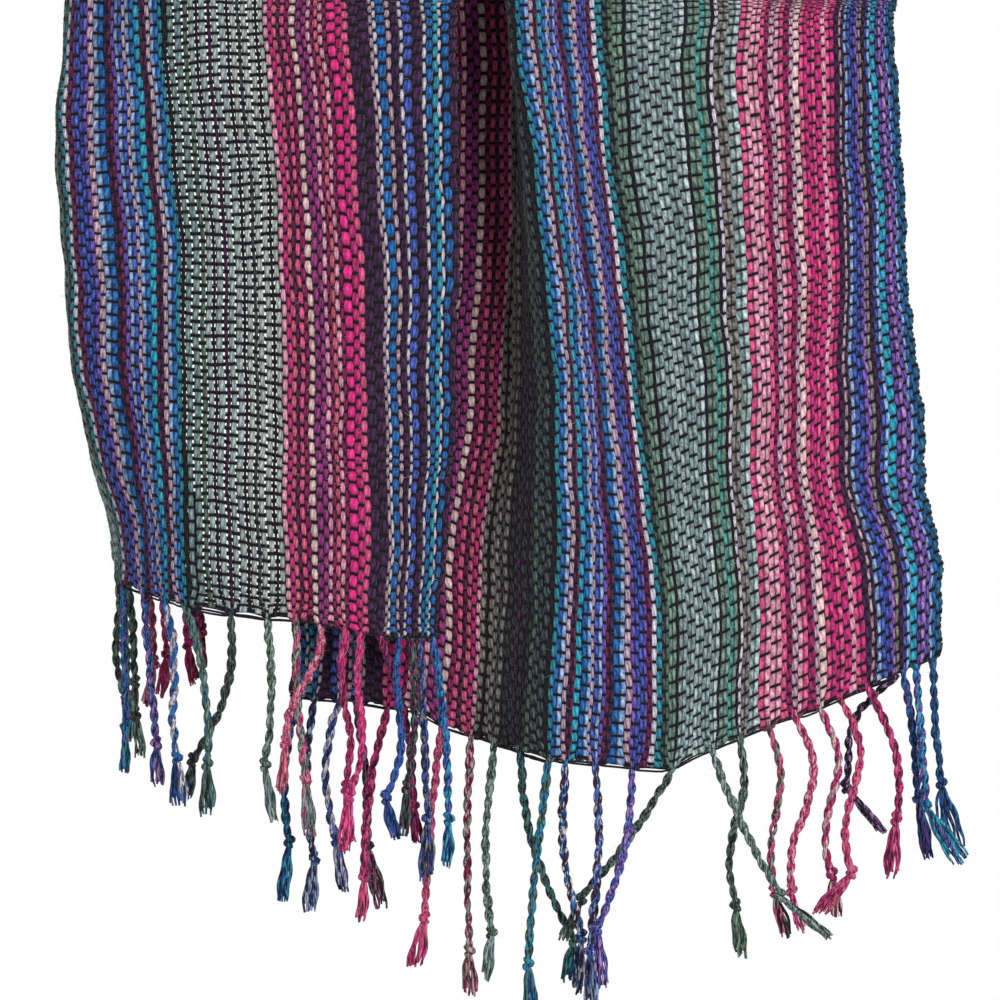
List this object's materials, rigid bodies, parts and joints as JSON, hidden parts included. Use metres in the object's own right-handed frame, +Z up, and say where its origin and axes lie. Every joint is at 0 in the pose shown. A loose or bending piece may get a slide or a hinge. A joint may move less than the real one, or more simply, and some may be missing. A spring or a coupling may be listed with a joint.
{
  "type": "alpaca scarf",
  "caption": "Hand-woven striped scarf hung round the neck, two ends down the front with twisted and knotted fringe.",
  "frame": {"origin": "middle of the neck hollow, at the height where the loop rests behind the neck", "axes": "+Z up, -Y towards the front, where both ends hang, +X towards the right as seen from the front"},
  "size_m": [0.3911, 0.2273, 0.8464],
  "materials": {
    "cloth": "plain weave of space-dyed alpaca warp with a dark weft, soft and matt",
    "fringe": "twisted two-ply alpaca strands, soft and matt"
  },
  "bodies": {
    "root": {"left_end": "cloth", "neck_loop": "cloth", "right_end": "cloth", "left_fringe": "fringe", "right_fringe": "fringe"}
  },
  "joints": []
}
